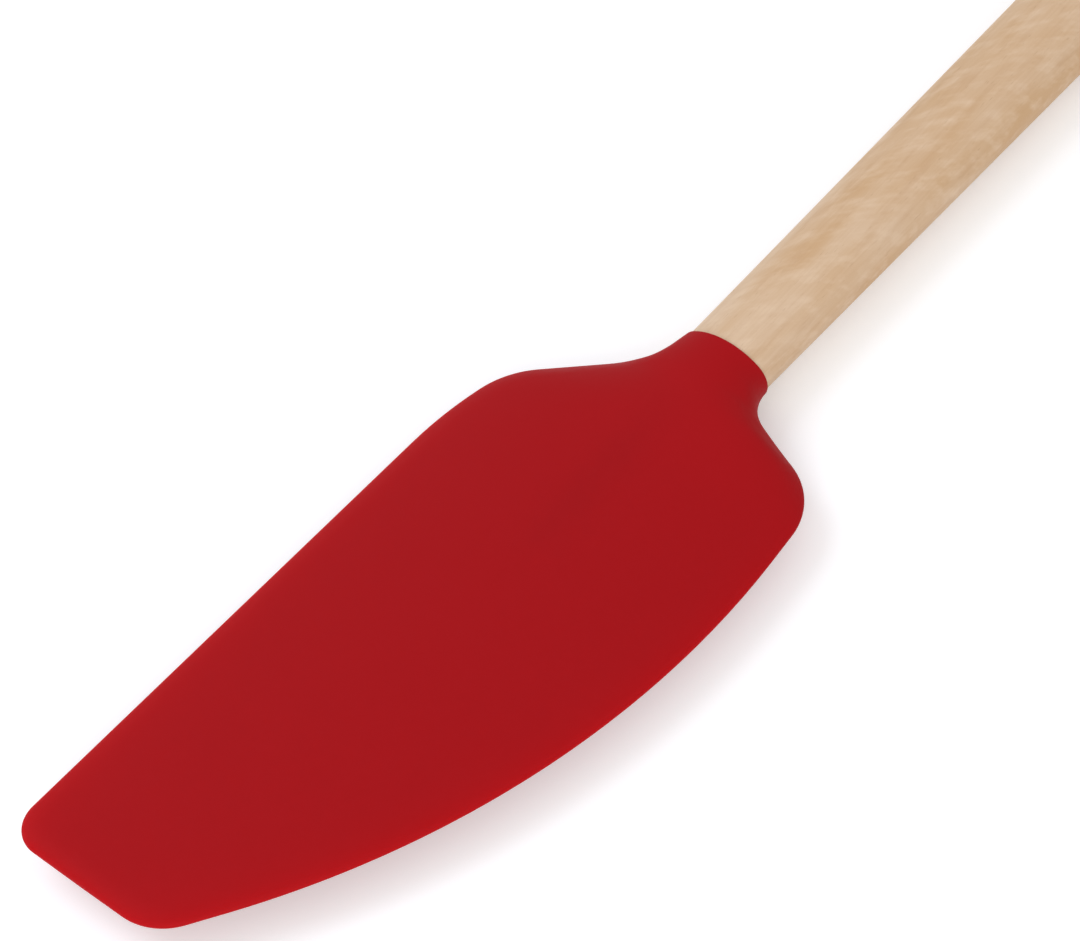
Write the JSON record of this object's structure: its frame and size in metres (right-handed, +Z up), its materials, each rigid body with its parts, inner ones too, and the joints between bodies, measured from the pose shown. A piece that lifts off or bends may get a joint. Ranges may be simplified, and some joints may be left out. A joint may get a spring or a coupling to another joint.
{
  "type": "silicone spatula",
  "caption": "Broad one-sided silicone spatula head, one straight edge and one curved, pushed over the tapered tongue of an oval wooden handle with a hanging hole.",
  "frame": {"origin": "middle of the whole spatula's box, which lies on the handle's axis and on the mid plane of the blade", "axes": "+X along the handle towards its hanging end, +Y towards the straight wiping edge, +Z up out of the blade's flat face"},
  "size_m": [0.32, 0.06, 0.0136],
  "materials": {
    "silicone": "matte moulded silicone, deep red",
    "core_nylon": "moulded nylon, natural white, sealed inside the head",
    "wood": "pale close-grained hardwood, fine sanded and lightly oiled"
  },
  "bodies": {
    "handle": {"wooden_handle": "wood"},
    "head": {"silicone_head": "silicone", "stiffener_core": "core_nylon"}
  },
  "joints": [
    {"name": "head_pull_off", "type": "slide", "parent": "handle", "child": "head", "axis": [-1, 0, 0], "range_m": [0, 0.055]}
  ]
}
